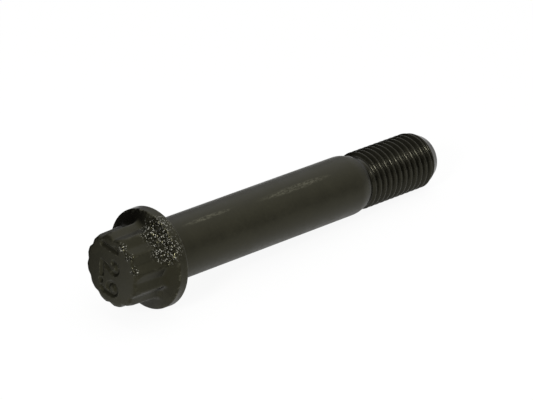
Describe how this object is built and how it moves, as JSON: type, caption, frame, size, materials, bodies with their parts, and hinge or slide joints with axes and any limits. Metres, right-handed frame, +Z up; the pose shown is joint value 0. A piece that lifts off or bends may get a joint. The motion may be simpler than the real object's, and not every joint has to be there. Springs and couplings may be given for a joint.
{
  "type": "flange bolt",
  "caption": "Black bi-hex flange bolt lying on its side: star-shaped head on a round flange, long smooth shank slightly thicker than its short coarse thread, chamfered tip",
  "frame": {"origin": "the point where the bolt's axis crosses the bearing face under the flange; the bolt lies on a floor below it, touching with the rim of the flange and the last full crest of the thread", "axes": "+X runs along the bolt toward the thread's tip, seen from above, and the bolt's own axis dips below it by 3.2 degrees as it lies; +Z is up; the head is on the -X side"},
  "size_m": [0.1152, 0.0268, 0.027],
  "materials": {
    "black_steel": "black phosphate and oil on forged and rolled steel, satin"
  },
  "bodies": {
    "root": {"bolt": "black_steel"}
  },
  "joints": []
}
